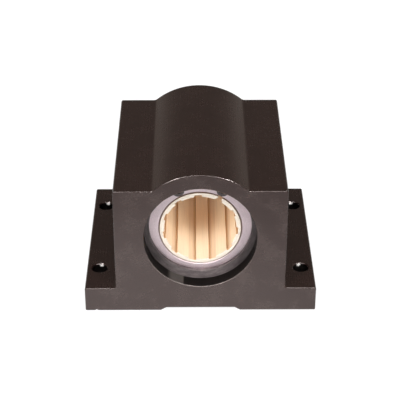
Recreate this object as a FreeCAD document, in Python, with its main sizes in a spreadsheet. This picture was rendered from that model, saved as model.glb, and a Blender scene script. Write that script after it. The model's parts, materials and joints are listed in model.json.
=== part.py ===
import FreeCAD, Part
import math
import os

import Sketcher

# A closed linear pillow block for a one-inch shaft, in millimetres. A turned sleeve with a
# grooved polymer liner sits in the bore of an extruded block, between two retaining rings.
# +X runs across the foot flanges, +Y along the shaft and +Z up. The origin is the centre of the
# mounting face, and the front of the block is its -Y end.

SIZES = [
    # The block's section
    ("base_width", 82.55, "across both foot flanges"),
    ("flange_width", 11.12, "each flange, out from the upper block"),
    ("block_length", 71.37, "from end face to end face"),
    ("flange_thickness", 9.53, "foot flange"),
    ("shoulder_height", 49.2, "mounting face to the flat shoulders"),
    ("centre_height", 30.15, "mounting face to the shaft axis"),
    ("crown_radius", 25.4, "crown over the bore, about the shaft axis"),
    ("crown_blend", 1.8, "hollow fillet between crown and shoulder"),
    ("shoulder_blend", 0.8, "outer edges of the shoulders"),
    ("root_blend", 0.8, "corner between flange and block"),
    ("flange_blend", 0.7, "top outer edges of the flanges"),
    ("foot_blend", 0.4, "bottom outer edges of the flanges"),
    ("channel_width", 28.5, "relief under the block, at the mounting face"),
    ("channel_depth", 1.15, "relief under the block"),
    ("channel_flare", 2.0, "slope of each side of the relief, measured across"),
    ("channel_blend", 0.6, "edges of the relief"),
    ("notch_inset", 4.0, "reference edge to the mark under the flange"),
    ("notch_width", 1.1, "mark under the flange"),
    ("notch_depth", 0.4, "mark under the flange"),
    ("end_break", 0.22, "broken edges round both end faces"),
    # Screw holes in the flanges
    ("hole_inset", 4.7, "side of a flange to its screw holes"),
    ("hole_spacing", 44.45, "screw holes, along the block"),
    ("hole_diameter", 5.56, "screw holes"),
    ("hole_break", 0.35, "broken edge of each screw hole"),
    # Bore of the block and its ring grooves
    ("bore_diameter", 39.69, "bore that holds the sleeve"),
    ("ring_groove_width", 1.75, "groove for a retaining ring"),
    ("ring_groove_depth", 0.95, "groove for a retaining ring"),
    # Retaining rings
    ("ring_thickness", 1.57, "retaining ring"),
    ("ring_play", 0.03, "ring to the floor of its groove"),
    ("band_wide", 4.1, "ring band opposite its gap"),
    ("band_narrow", 1.2, "ring band at its gap"),
    ("lug_angle", 25.85, "lug from straight up, in degrees"),
    ("lug_width", 4.3, "lug, and the round of its tip"),
    ("lug_reach", 5.15, "ring's outer edge to the tip of a lug"),
    ("eye_diameter", 2.0, "hole for the pliers"),
    # Sleeve
    ("sleeve_recess", 7.11, "end face of the block to the sleeve"),
    ("sleeve_play", 0.02, "sleeve to bore, on the radius"),
    ("end_play", 0.06, "sleeve to each retaining ring"),
    ("sleeve_break", 0.8, "outer edges of the sleeve"),
    ("mouth_break", 0.45, "inner edges of the sleeve"),
    ("clip_groove_inset", 4.65, "end of the sleeve to a clip groove"),
    ("clip_groove_width", 1.73, "clip groove of the sleeve"),
    ("clip_groove_depth", 0.9, "clip groove of the sleeve"),
    # Liner
    ("shaft_diameter", 25.4, "shaft that the bearing runs on"),
    ("running_clearance", 0.05, "shaft to liner, on the radius"),
    ("liner_wall", 1.73, "liner under its bearing lands"),
    ("liner_play", 0.02, "liner to sleeve, on the radius"),
    ("liner_break", 0.25, "inner edges of the liner's ends"),
    ("debris_groove_count", 11, "grooves round the liner's bore"),
    ("debris_groove_angle", 11.8, "width of a groove, in degrees"),
    ("debris_groove_depth", 0.65, "groove below the bearing lands"),
    ("first_groove_lean", 3.5, "first groove from straight up, towards -X, in degrees"),
    ("slit_width", 1.5, "slit through the liner, in one groove"),
    ("lock_diameter", 4.0, "locking nub of the liner"),
    ("lock_height", 1.4, "locking nub, out of the liner"),
    ("lock_play", 0.15, "nub to its hole, on the radius"),
]

TOUCH = 1e-4


class Size:
    """A length or an angle that knows its value and the sheet formula that gives it."""

    def __init__(self, value, formula):
        self.value = value
        self.formula = formula

    def __neg__(self):
        return Size(-self.value, "-(" + self.formula + ")")

    def __add__(self, other):
        return Size(self.value + other.value, "(" + self.formula + " + " + other.formula + ")")

    def __sub__(self, other):
        return Size(self.value - other.value, "(" + self.formula + " - " + other.formula + ")")

    def __mul__(self, other):
        other = number(other)
        return Size(self.value * other.value, "(" + self.formula + " * " + other.formula + ")")

    def __truediv__(self, other):
        other = number(other)
        return Size(self.value / other.value, "(" + self.formula + " / " + other.formula + ")")


def number(value):
    return value if isinstance(value, Size) else Size(value, repr(value))


def square_root(size):
    return Size(math.sqrt(size.value), "sqrt(" + size.formula + ")")


def sine(size):
    return Size(math.sin(math.radians(size.value)), "sin(" + size.formula + ")")


def tangent(size):
    return Size(math.tan(math.radians(size.value)), "tan(" + size.formula + ")")


ZERO = number(0)
FULL_TURN = number(360)


class Sizes:
    """The driving dimensions, each one a cell of the sheet and an attribute of this object."""

    def __init__(self, doc):
        sheet = doc.addObject("Spreadsheet::Sheet", "sizes")
        for row, (name, value, note) in enumerate(SIZES, 1):
            sheet.set("A%d" % row, name)
            sheet.set("B%d" % row, str(value))
            sheet.set("C%d" % row, note)
            sheet.setAlias("B%d" % row, name)
            setattr(self, name, Size(value, "sizes." + name))


def new_body(doc, name):
    body = doc.addObject("PartDesign::Body", name)
    body.Label = name
    return body


def origin_part(body, role):
    return next(part for part in body.Origin.OriginFeatures if part.Role == role)


def new_sketch(body, name, plane, shift=None, turn=None):
    """An empty sketch on an origin plane, shifted along one axis of the sketch and turned in it."""
    sketch = body.newObject("Sketcher::SketchObject", name)
    sketch.AttachmentSupport = [(origin_part(body, plane), "")]
    sketch.MapMode = "FlatFace"
    if shift:
        axis, distance = shift
        sketch.setExpression("AttachmentOffset.Base." + axis, distance.formula)
    if turn:
        upright = FreeCAD.Rotation(FreeCAD.Vector(0, 0, 1), turn.value)
        sketch.AttachmentOffset = FreeCAD.Placement(FreeCAD.Vector(), upright)
        sketch.setExpression("AttachmentOffset.Rotation.Angle", turn.formula)
    return sketch


def hold(sketch, item, point, axis, distance):
    """Hold a point of the sketch at a distance from the sketch's origin along one axis."""
    rule = Sketcher.Constraint("Distance" + axis, -1, 1, item, point, distance.value)
    index = sketch.addConstraint(rule)
    sketch.setExpression("Constraints[%d]" % index, distance.formula)


def outline(body, name, plane, corners, arc_side=None, arc_centre=None, **place):
    """A closed sketch through corners that are given anticlockwise.

    The side that follows corner arc_side bulges outwards as an arc, about a centre at the height
    arc_centre on the sketch's upright axis.
    """
    sketch = new_sketch(body, name, plane, **place)
    points = [FreeCAD.Vector(x.value, y.value, 0) for x, y in corners]
    following = points[1:] + points[:1]
    for side, (start, end) in enumerate(zip(points, following)):
        if side == arc_side:
            centre = FreeCAD.Vector(0, arc_centre.value, 0)
            circle = Part.Circle(centre, FreeCAD.Vector(0, 0, 1), (start - centre).Length)
            first = math.atan2(start.y - centre.y, start.x)
            last = math.atan2(end.y - centre.y, end.x)
            if last < first:
                last += 2 * math.pi
            sketch.addGeometry(Part.ArcOfCircle(circle, first, last))
        else:
            sketch.addGeometry(Part.LineSegment(start, end))
    for side, (x, y) in enumerate(corners):
        joint = Sketcher.Constraint("Coincident", side - 1 if side else len(corners) - 1, 2, side, 1)
        sketch.addConstraint(joint)
        hold(sketch, side, 1, "X", x)
        hold(sketch, side, 1, "Y", y)
    if arc_side is not None:
        hold(sketch, arc_side, 3, "Y", arc_centre)
    return sketch


def rounds(body, name, plane, circles, **place):
    """A sketch of whole circles, each given as x, y and radius."""
    sketch = new_sketch(body, name, plane, **place)
    for item, (x, y, radius) in enumerate(circles):
        centre = FreeCAD.Vector(x.value, y.value, 0)
        sketch.addGeometry(Part.Circle(centre, FreeCAD.Vector(0, 0, 1), radius.value))
        hold(sketch, item, 3, "X", x)
        hold(sketch, item, 3, "Y", y)
        index = sketch.addConstraint(Sketcher.Constraint("Radius", item, radius.value))
        sketch.setExpression("Constraints[%d]" % index, radius.formula)
    return sketch


def pad(body, name, sketch, length, side="Symmetric"):
    feature = body.newObject("PartDesign::Pad", name)
    feature.Profile = sketch
    feature.SideType = side
    feature.setExpression("Length", length.formula)
    body.Document.recompute()
    return feature


def pocket(body, name, sketch, side="Symmetric"):
    """Cut the sketch right through the body, one way or both ways."""
    feature = body.newObject("PartDesign::Pocket", name)
    feature.Profile = sketch
    feature.Type = "ThroughAll"
    feature.SideType = side
    return cut_made(feature)


def turned(body, kind, name, sketch):
    """Turn the sketch round its own horizontal axis, as a Revolution or a Groove."""
    feature = body.newObject("PartDesign::" + kind, name)
    feature.Profile = sketch
    feature.ReferenceAxis = (sketch, ["H_Axis"])
    feature.Angle = 360
    body.Document.recompute()
    return cut_made(feature) if kind == "Groove" else feature


def cut_made(feature):
    """Stop if a cut took nothing away."""
    feature.Document.recompute()
    if feature.Shape.Volume > feature.BaseFeature.Shape.Volume - TOUCH:
        raise RuntimeError(feature.Label + " cuts nothing")
    return feature


def mirrored(body, name, features, plane):
    copy = body.newObject("PartDesign::Mirrored", name)
    copy.Originals = features
    copy.MirrorPlane = (origin_part(body, plane), [""])
    body.Tip = copy
    body.Document.recompute()
    return copy


def dressed(body, kind, name, base, edges, size):
    """A Fillet or Chamfer of one size on the named edges."""
    if not edges:
        raise RuntimeError(name + " finds no edge")
    feature = body.newObject("PartDesign::" + kind, name)
    feature.Base = (base, edges)
    feature.setExpression("Radius" if kind == "Fillet" else "Size", size.formula)
    body.Document.recompute()
    return feature


def edges_of(feature, wanted):
    return ["Edge%d" % i for i, edge in enumerate(feature.Shape.Edges, 1) if wanted(edge)]


def edges_along(feature, places):
    """The straight edges that run along the block through points x, z of its section."""
    def wanted(edge):
        middle = edge.CenterOfMass
        return any(abs(middle.x - x.value) < TOUCH and abs(middle.z - z.value) < TOUCH
                   for x, z in places)
    return edges_of(feature, wanted)


def both_sides(x, z):
    return [(-x, z), (x, z)]


def sleeve_end(s):
    """Middle of the block to the end of the sleeve and the liner."""
    return s.block_length / 2 - s.sleeve_recess


def liner_radius(s):
    """Outside radius of the liner."""
    return s.shaft_diameter / 2 + s.running_clearance + s.liner_wall


def build_housing(doc, s):
    """The block: an extruded section with the bore, ring grooves and screw holes cut in it."""
    body = new_body(doc, "housing")
    base = s.base_width / 2
    block = base - s.flange_width
    shoulder_rise = s.shoulder_height - s.centre_height
    crown = square_root(s.crown_radius * s.crown_radius - shoulder_rise * shoulder_rise)
    channel = s.channel_width / 2
    ceiling = channel - s.channel_flare
    notch = s.notch_inset - base
    section = outline(body, "block_section", "XZ_Plane", [
        (-base, ZERO),
        (notch - s.notch_width / 2, ZERO),
        (notch, s.notch_depth),
        (notch + s.notch_width / 2, ZERO),
        (-channel, ZERO),
        (-ceiling, s.channel_depth),
        (ceiling, s.channel_depth),
        (channel, ZERO),
        (base, ZERO),
        (base, s.flange_thickness),
        (block, s.flange_thickness),
        (block, s.shoulder_height),
        (crown, s.shoulder_height),
        (-crown, s.shoulder_height),
        (-block, s.shoulder_height),
        (-block, s.flange_thickness),
        (-base, s.flange_thickness),
    ], arc_side=12, arc_centre=s.centre_height)
    solid = pad(body, "extrusion", section, s.block_length)

    for name, places, radius in (
        ("crown_fillets", both_sides(crown, s.shoulder_height), s.crown_blend),
        ("shoulder_fillets", both_sides(block, s.shoulder_height), s.shoulder_blend),
        ("root_fillets", both_sides(block, s.flange_thickness), s.root_blend),
        ("flange_fillets", both_sides(base, s.flange_thickness), s.flange_blend),
        ("foot_fillets", both_sides(base, ZERO), s.foot_blend),
        ("relief_fillets", both_sides(channel, ZERO) + both_sides(ceiling, s.channel_depth),
         s.channel_blend),
    ):
        solid = dressed(body, "Fillet", name, solid, edges_along(solid, places), radius)

    bore_circle = [(ZERO, s.centre_height, s.bore_diameter / 2)]
    solid = pocket(body, "bore", rounds(body, "bore_circle", "XZ_Plane", bore_circle))
    end = s.block_length.value / 2

    def in_end_face(edge):
        box = edge.BoundBox
        return box.YLength < TOUCH and abs(abs(box.YMin) - end) < TOUCH

    ends = edges_of(solid, in_end_face)
    solid = dressed(body, "Chamfer", "broken_ends", solid, ends, s.end_break)

    wall = s.bore_diameter / 2
    ring_face = sleeve_end(s) + s.end_play
    spare = (s.ring_groove_width - s.ring_thickness) / 2
    groove_near = ring_face - spare
    groove_far = groove_near + s.ring_groove_width
    groove = outline(body, "ring_groove_section", "YZ_Plane", [
        (groove_near, wall - s.ring_groove_depth),
        (groove_far, wall - s.ring_groove_depth),
        (groove_far, wall + s.ring_groove_depth),
        (groove_near, wall + s.ring_groove_depth),
    ], shift=("y", s.centre_height))
    groove = turned(body, "Groove", "rear_ring_groove", groove)
    solid = mirrored(body, "front_ring_groove", [groove], "XZ_Plane")

    holes = [((base - s.hole_inset) * side, s.hole_spacing / 2 * end, s.hole_diameter / 2)
             for side in (-1, 1) for end in (-1, 1)]
    centres = rounds(body, "screw_centres", "XY_Plane", holes, shift=("z", s.flange_thickness))
    doc.recompute()
    screws = body.newObject("PartDesign::Hole", "screw_holes")
    screws.Profile = centres
    screws.DepthType = "ThroughAll"
    screws.setExpression("Diameter", s.hole_diameter.formula)
    solid = cut_made(screws)

    def hole_rim(edge):
        curve = edge.Curve
        return isinstance(curve, Part.Circle) and abs(curve.Radius - s.hole_diameter.value / 2) < TOUCH

    dressed(body, "Chamfer", "broken_holes", solid, edges_of(solid, hole_rim), s.hole_break)


def raise_to_shaft(body, s, lean=None, along=None):
    """Carry a body from its own centre to the shaft axis, leaning round it and moved along it."""
    if lean:
        body.Placement = FreeCAD.Placement(FreeCAD.Vector(),
                                           FreeCAD.Rotation(FreeCAD.Vector(0, 1, 0), lean.value))
        body.setExpression("Placement.Rotation.Angle", lean.formula)
    if along:
        body.setExpression("Placement.Base.y", along.formula)
    body.setExpression("Placement.Base.z", s.centre_height.formula)


def build_sleeve(doc, s):
    """The turned sleeve, with broken edges, two clip grooves and the hole for the liner's nub."""
    body = new_body(doc, "bearing_sleeve")
    end = sleeve_end(s)
    outside = s.bore_diameter / 2 - s.sleeve_play
    inside = liner_radius(s) + s.liner_play
    clip_far = end - s.clip_groove_inset
    clip_near = clip_far - s.clip_groove_width
    clip_floor = outside - s.clip_groove_depth
    section = outline(body, "sleeve_section", "YZ_Plane", [
        (-(end - s.mouth_break), inside),
        (end - s.mouth_break, inside),
        (end, inside + s.mouth_break),
        (end, outside - s.sleeve_break),
        (end - s.sleeve_break, outside),
        (clip_far, outside),
        (clip_far, clip_floor),
        (clip_near, clip_floor),
        (clip_near, outside),
        (-clip_near, outside),
        (-clip_near, clip_floor),
        (-clip_far, clip_floor),
        (-clip_far, outside),
        (-(end - s.sleeve_break), outside),
        (-end, outside - s.sleeve_break),
        (-end, inside + s.mouth_break),
    ])
    turned(body, "Revolution", "turned_sleeve", section)
    lock = [(ZERO, ZERO, s.lock_diameter / 2 + s.lock_play)]
    pocket(body, "lock_hole", rounds(body, "lock_circle", "XY_Plane", lock), side="One side")
    raise_to_shaft(body, s, lean=-s.first_groove_lean)


def build_liner(doc, s):
    """The liner: bearing lands between debris grooves, one groove slit, and a locking nub."""
    body = new_body(doc, "bearing_liner")
    end = sleeve_end(s)
    outside = liner_radius(s)
    land = outside - s.liner_wall
    tube = rounds(body, "tube_circles", "XZ_Plane", [(ZERO, ZERO, outside), (ZERO, ZERO, land)])
    pad(body, "tube", tube, end * 2)

    mouth = outline(body, "mouth_section", "YZ_Plane", [
        (end - s.liner_break, land),
        (end, land - s.liner_break),
        (end + s.liner_break, land),
        (end, land + s.liner_break),
    ])
    mouth = turned(body, "Groove", "rear_mouth", mouth)
    mirrored(body, "front_mouth", [mouth], "XZ_Plane")

    half = land * sine(s.debris_groove_angle / 2)
    floor = land + s.debris_groove_depth
    shelf = square_root(floor * floor - half * half)
    groove = outline(body, "groove_section", "XZ_Plane", [
        (-half, land - s.liner_wall),
        (half, land - s.liner_wall),
        (half, shelf),
        (-half, shelf),
    ], arc_side=2, arc_centre=ZERO)
    groove = pocket(body, "debris_groove", groove)
    grooves = body.newObject("PartDesign::PolarPattern", "debris_grooves")
    grooves.Originals = [groove]
    grooves.Axis = (origin_part(body, "Y_Axis"), [""])
    grooves.Angle = 360
    grooves.setExpression("Occurrences", s.debris_groove_count.formula)
    body.Tip = grooves
    doc.recompute()

    slit = outline(body, "slit_section", "XZ_Plane", [
        (-(s.slit_width / 2), land - s.liner_wall),
        (s.slit_width / 2, land - s.liner_wall),
        (s.slit_width / 2, outside + s.liner_wall),
        (-(s.slit_width / 2), outside + s.liner_wall),
    ], turn=-(FULL_TURN / s.debris_groove_count))
    pocket(body, "slit", slit)

    nub_start = outside + s.lock_height
    nub = rounds(body, "nub_circle", "XY_Plane", [(ZERO, ZERO, s.lock_diameter / 2)],
                 shift=("z", -nub_start))
    pad(body, "lock_nub", nub, s.lock_height + s.liner_wall / 2, side="One side")
    raise_to_shaft(body, s, lean=-s.first_groove_lean)


def build_ring(doc, s, name, end):
    """A retaining ring: a band that tapers towards its gap, and a lug with an eye each side."""
    body = new_body(doc, name)
    outside = s.bore_diameter / 2 + s.ring_groove_depth - s.ring_play
    inside = outside - (s.band_wide + s.band_narrow) / 2
    rise = (s.band_wide - s.band_narrow) / 2
    band = rounds(body, "band_circles", "XZ_Plane", [(ZERO, ZERO, outside), (ZERO, rise, inside)])
    pad(body, "band", band, s.ring_thickness)

    top = outside + s.band_narrow
    gap = top * tangent(s.lug_angle)
    gap = outline(body, "gap_section", "XZ_Plane", [(ZERO, ZERO), (gap, top), (-gap, top)])
    pocket(body, "gap", gap)

    half = s.lug_width / 2
    eye = outside - s.lug_reach + half
    root = outside - s.band_narrow / 2
    turn = -s.lug_angle
    lug = outline(body, "lug_section", "XZ_Plane", [
        (-half, eye),
        (half, eye),
        (half, root),
        (-half, root),
    ], arc_side=0, arc_centre=eye, turn=turn)
    lug = pad(body, "lug", lug, s.ring_thickness)
    eye = rounds(body, "eye_circle", "XZ_Plane", [(ZERO, eye, s.eye_diameter / 2)], turn=turn)
    eye = pocket(body, "eye", eye)
    mirrored(body, "other_lug", [lug, eye], "YZ_Plane")
    along = sleeve_end(s) + s.end_play + s.ring_thickness / 2
    raise_to_shaft(body, s, along=along * end)


def check(doc, bodies):
    """Stop if anything failed, a sketch is loose or a sub-part isn't one sound solid."""
    for item in doc.Objects:
        if "Invalid" in item.State or "Error" in item.State:
            raise RuntimeError(item.Label + " failed")
        if item.TypeId == "Sketcher::SketchObject" and not item.FullyConstrained:
            raise RuntimeError(item.Label + " isn't fully constrained")
    for body in bodies:
        shape = body.Shape
        if shape.isNull() or not shape.isValid() or len(shape.Solids) != 1:
            raise RuntimeError(body.Label + " isn't one valid solid")


def main():
    doc = FreeCAD.newDocument("pillow_block")
    s = Sizes(doc)
    doc.recompute()
    build_housing(doc, s)
    build_sleeve(doc, s)
    build_liner(doc, s)
    build_ring(doc, s, "front_retaining_ring", -1)
    build_ring(doc, s, "rear_retaining_ring", 1)
    doc.recompute()
    bodies = [item for item in doc.Objects if item.TypeId == "PartDesign::Body"]
    check(doc, bodies)
    os.makedirs("parts", exist_ok=True)
    for body in bodies:
        body.Shape.exportStep("parts/" + body.Label + ".step")
        print(body.Label, "%.1f mm3" % body.Shape.Volume)


main()
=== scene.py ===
"""Looks of a closed linear pillow block: its block, sleeve, grooved liner and retaining rings."""

import json
import math
from types import SimpleNamespace

import bmesh
import bpy
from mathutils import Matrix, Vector


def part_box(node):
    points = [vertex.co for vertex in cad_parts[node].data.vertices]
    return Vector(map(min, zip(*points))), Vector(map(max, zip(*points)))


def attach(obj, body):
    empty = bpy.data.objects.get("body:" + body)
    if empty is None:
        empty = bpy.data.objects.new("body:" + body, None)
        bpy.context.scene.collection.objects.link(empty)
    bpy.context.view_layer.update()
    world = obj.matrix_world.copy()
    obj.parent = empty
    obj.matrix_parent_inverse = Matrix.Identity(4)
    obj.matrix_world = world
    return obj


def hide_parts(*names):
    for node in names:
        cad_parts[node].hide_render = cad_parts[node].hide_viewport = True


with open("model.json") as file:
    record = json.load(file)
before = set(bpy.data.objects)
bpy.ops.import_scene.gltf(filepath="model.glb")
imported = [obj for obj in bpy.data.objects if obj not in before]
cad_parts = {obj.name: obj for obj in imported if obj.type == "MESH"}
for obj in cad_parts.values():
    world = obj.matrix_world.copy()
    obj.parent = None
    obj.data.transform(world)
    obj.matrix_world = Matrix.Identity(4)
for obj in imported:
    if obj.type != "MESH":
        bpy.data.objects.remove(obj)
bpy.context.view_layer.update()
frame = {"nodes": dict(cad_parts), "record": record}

bl_info = {
    "name": "Linear pillow block",
    "version": (1, 0, 0),
    "blender": (4, 5, 0),
    "location": "View3D > Sidebar > Pillow Block",
    "description": "Finished pieces and studio of a closed linear pillow block",
    "category": "Object",
}

MM = 0.001
BODY = "root"
WHITE = (1.0, 1.0, 1.0, 1.0)

# CAD corners closer than this are one corner.
WELD_REACH = 0.0001 * MM
# CAD triangles that meet within this angle are one flat face.
FLAT_ANGLE = math.radians(0.05)
# Edges that turn by more than this angle are rounded.
SHARP_ANGLE = math.radians(25)

MOUNTS = {mount["name"]: mount for mount in frame["record"]["mounts"]}
LAND_RADIUS = MOUNTS["shaft_bore"]["dims"]["r_mm"] * MM
HOLES = MOUNTS["mounting_holes"]["dims"]
FLANGE_TOP = MOUNTS["mounting_holes"]["pos_m"][2]
# Just past the wall of a screw hole.
HOLE_REACH = HOLES["hole_r_mm"] * MM * 1.05

liner_low, liner_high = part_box("bearing_liner")
LINER_RADIUS = liner_high.x
LINER_LENGTH = liner_high.y - liner_low.y
AXIS_HEIGHT = liner_high.z - LINER_RADIUS
BORE_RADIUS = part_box("bearing_sleeve")[1].x
# Past the floor of the ring grooves in the block's bore.
BORE_REACH = BORE_RADIUS + 1.2 * MM

# The spans of a noise that map ranges spread: most of its values, and nearly all of them.
MOST_NOISE = {"From Min": 0.3, "From Max": 0.7}
ALL_NOISE = {"From Min": 0.25, "From Max": 0.75}

# Name, azimuth, elevation, distance, width, height and radiance of each lamp, in degrees and
# metres, and the rays that don't see it. The broad lamps light the block and don't show in what
# it mirrors, and the small ones only draw the glints on its edges.
LAMPS = (
    ("key_softbox", 0, 49, 0.9, 1.4, 0.14, 11.8, "glossy"),
    ("left_fill", -34, 15, 1.0, 0.35, 0.25, 15.0, "glossy"),
    ("right_fill", 34, 15, 1.0, 0.35, 0.25, 15.0, "glossy"),
    ("rear_fill", 180, 26, 1.0, 0.7, 0.3, 3.5, "glossy"),
    ("glint_strip", 0, 54, 0.9, 0.6, 0.04, 24.0, "diffuse"),
    ("left_glint", -50, 51, 0.8, 0.06, 0.06, 320.0, "diffuse"),
    ("right_glint", 50, 51, 0.8, 0.06, 0.06, 320.0, "diffuse"),
)


def linear(code):
    """Turn an sRGB hex colour to scene-linear numbers."""
    values = [int(code[i:i + 2], 16) / 255 for i in (1, 3, 5)]
    return [v / 12.92 if v <= 0.04045 else ((v + 0.055) / 1.055) ** 2.4 for v in values]


def length(name, description, default):
    """A property for a length, given in metres."""
    return bpy.props.FloatProperty(name=name, description=description, default=default,
                                   min=0.0, precision=5, unit="LENGTH")


def angle(name, description, degrees):
    """A property for an angle, given in degrees."""
    return bpy.props.FloatProperty(name=name, description=description, subtype="ANGLE",
                                   default=math.radians(degrees))


def amount(name, description, default):
    """A property for the level of a light, or for a share."""
    return bpy.props.FloatProperty(name=name, description=description, default=default, min=0.0)


def position(name, description, default):
    """A property for a place in the scene, given in metres."""
    return bpy.props.FloatVectorProperty(name=name, description=description, default=default,
                                         size=3, subtype="TRANSLATION", unit="LENGTH")


def colour(name, description, code):
    """A property for a colour, given as sRGB hex."""
    return bpy.props.FloatVectorProperty(name=name, description=description, subtype="COLOR",
                                         size=3, min=0.0, max=1.0, default=linear(code))


class BlockSettings(bpy.types.PropertyGroup):
    edge_round: length("Edge round", "Radius left on each machined edge", 0.09 * MM)
    anodised: colour("Anodising", "Dyed oxide layer of the block", "#221411")
    sheen: colour("Sheen", "Warm tint of the oxide layer's own gloss", "#fff1ee")
    # A darker colour inside the bore and holes, as painted shade.
    bored: colour("Bored faces", "Oxide inside the bore and holes, darkened as painted shade", "#0d0a09")
    # Pale aluminium for worn edges and grease haze, and for painted highlights and a painted
    # reflection.
    bare_edge_and_highlight: colour("Worn edge and highlight", "Aluminium on worn edges, also painted as highlights", "#a39a95")
    # A painted highlight in each screw hole.
    hole_highlight: colour("Hole highlight", "Painted highlight on the screw holes' rear walls", "#f4f0ec")
    cloud: length("Clouds", "Size of the soft clouds in the dye", 9.0 * MM)
    grain: length("Grain", "Pores and etch grain, drawn coarse", 0.35 * MM)
    die_line: length("Die lines", "Width of the drawn lines along the extrusion", 0.5 * MM)
    mill_mark: length("Mill marks", "Spacing of the cutter's marks on the end faces", 0.7 * MM)
    mill_centre: position("Mill centre", "Centre of the cutter's arcs on the end faces",
                          (14.0 * MM, 0.0, -48.0 * MM))
    bore_pitch: length("Bore marks", "Pitch of the boring tool's marks", 0.35 * MM)
    # These set the worn edges, which are partly a painted highlight.
    wear_reach: length("Wear reach", "How far wear reaches from an edge", 0.3 * MM)
    wear_patch: length("Wear patches", "Size of the patches in which edges wear", 3.5 * MM)
    wear: amount("Wear", "Share of bare aluminium on a worn edge", 0.35)
    haze: amount("Haze", "Share of grey grease film on the milled ends", 0.03)
    # A pale patch painted on the bore wall as a reflection.
    bore_reflection_level: amount("Bore reflection", "Share of bare aluminium colour in the painted bore reflection", 0.21)
    reflection_start: angle("Reflection start", "Where the painted bore reflection starts, from straight down", -37)
    reflection_end: angle("Reflection end", "Where the painted bore reflection ends, from straight down", -17.3)


class SleeveSettings(bpy.types.PropertyGroup):
    edge_round: length("Edge round", "Radius left on each turned edge", 0.05 * MM)
    metal: colour("Metal", "Clear anodised aluminium", "#e4d3d8")
    # Painted shade in the gap beside the liner.
    joint_shade: colour("Joint shade", "Painted shade in the joint with the liner", "#8f6e54")
    turning_pitch: length("Turning marks", "Pitch of the turning tool's marks", 0.3 * MM)
    cloud: length("Clouds", "Size of the soft clouds in the oxide layer", 5.0 * MM)
    grain: length("Grain", "Etch grain of the oxide layer, drawn coarse", 0.3 * MM)


class LinerSettings(bpy.types.PropertyGroup):
    groove_count: bpy.props.IntProperty(name="Grooves", default=11, min=3,
                                        description="Debris grooves round the bore")
    groove_angle: angle("Groove angle", "Width of a groove", 11.8)
    lean: angle("Lean", "First groove from straight up, towards -X", 3.5)
    groove_depth: length("Groove depth", "Groove below the bearing lands", 0.65 * MM)
    groove_round: length("Groove round", "Round of the grooves' edges", 0.1 * MM)
    end_round: length("End round", "Round of the edges at both ends", 0.25 * MM)
    slit_width: length("Slit", "Width of the slit through the liner", 1.5 * MM)
    nub_radius: length("Nub radius", "Locking nub under the liner", 2.0 * MM)
    nub_height: length("Nub height", "Locking nub, out of the liner", 1.4 * MM)
    polymer: colour("Polymer", "Filled bearing polymer", "#fbe4c6")
    # The end faces' own colour is painted shade against their stronger light.
    end_face: colour("End faces", "The polymer's end faces, less yellow than its wall", "#d3c8ba")
    # Painted shade in the grooves.
    groove_shade: colour("Groove shade", "Painted shade in the grooves, most on their lower side", "#b07a3c")
    # Painted shade deep in the bore.
    deep_shade: colour("Deep shade", "Painted shade along the bottom of the bore, towards the rear", "#dca469")
    # Painted shade in the gap beside the sleeve.
    joint_shade: colour("Joint shade", "Painted shade in the joint with the sleeve", "#6b4d38")
    streak: length("Streaks", "Width of the moulding streaks along the bore", 0.4 * MM)
    speck: length("Specks", "Size of the filler's specks, drawn coarse", 0.4 * MM)


class RingSettings(bpy.types.PropertyGroup):
    edge_round: length("Edge round", "Rolled edge that stamping leaves", 0.12 * MM)
    steel: colour("Steel", "Phosphated spring steel", "#7f7575")
    grain: length("Grain", "Size of the phosphate crystals, drawn coarse", 0.25 * MM)
    oil_patch: length("Oil patches", "Size of the patches of oil on the coat", 12.0 * MM)
    scuff: length("Scuffs", "Width of the scuffs that run round the ring", 0.9 * MM)


class StudioSettings(bpy.types.PropertyGroup):
    floor: colour("Floor", "White sweep that the block stands on", "#f4f4f4")
    floor_size: length("Floor size", "Side of the square floor", 8.0)
    floor_drop: length("Floor drop", "Gap that keeps the floor off the block's feet", 0.02 * MM)
    floor_glow: amount("Floor glow", "Share of the floor that glows white where it is seen", 0.75)
    # The pool is painted light, a glow that only reflections see.
    pool_centre: position("Pool centre", "Middle of the lit ground that the block mirrors",
                          (-26 * MM, -20 * MM, 0.0))
    pool_inner: length("Pool inner", "Where the lit ground starts to fade", 45 * MM)
    pool_outer: length("Pool outer", "Where the lit ground has faded", 116 * MM)
    walls: colour("Walls", "Colour of the walls where the block mirrors them", "#fff0e2")
    room_level: amount("Room level", "Soft light from all round", 0.3)
    ceiling_level: amount("Ceiling level", "How light the ceiling looks in a reflection", 0.135)
    ceiling_start: angle("Ceiling start", "Elevation at which the walls start to give way", 9)
    ceiling_full: angle("Ceiling full", "Elevation from which all is ceiling", 17)
    horizon_level: amount("Horizon level", "How light the horizon looks in a reflection", 0.3)
    lens: bpy.props.FloatProperty(name="Lens", default=120.57, min=1.0, unit="CAMERA",
                                  description="Focal length on a 36 mm sensor")
    camera_place: position("Camera", "Where the camera stands",
                           (-2.67 * MM, -431.89 * MM, 277.34 * MM))
    camera_target: position("Target", "What the camera looks at", (0.06 * MM, 0.0, 25.04 * MM))


GROUPS = {
    "pillow_block": BlockSettings,
    "pillow_sleeve": SleeveSettings,
    "pillow_liner": LinerSettings,
    "pillow_rings": RingSettings,
    "pillow_studio": StudioSettings,
}


def add(tree, kind, inputs=None, **settings):
    """Add a node with its settings, and set or link its inputs, given by name or number."""
    node = tree.nodes.new(kind)
    for key, value in settings.items():
        setattr(node, key, value)
    for key, value in (inputs or {}).items():
        if isinstance(value, bpy.types.NodeSocket):
            tree.links.new(value, node.inputs[key])
        elif isinstance(value, bpy.types.Node):
            tree.links.new(value.outputs[0], node.inputs[key])
        else:
            node.inputs[key].default_value = value
    return node


def new_material(name):
    """An empty material and its tree."""
    material = bpy.data.materials.new(name)
    material.use_nodes = True
    tree = material.node_tree
    tree.nodes.clear()
    return material, tree


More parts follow.
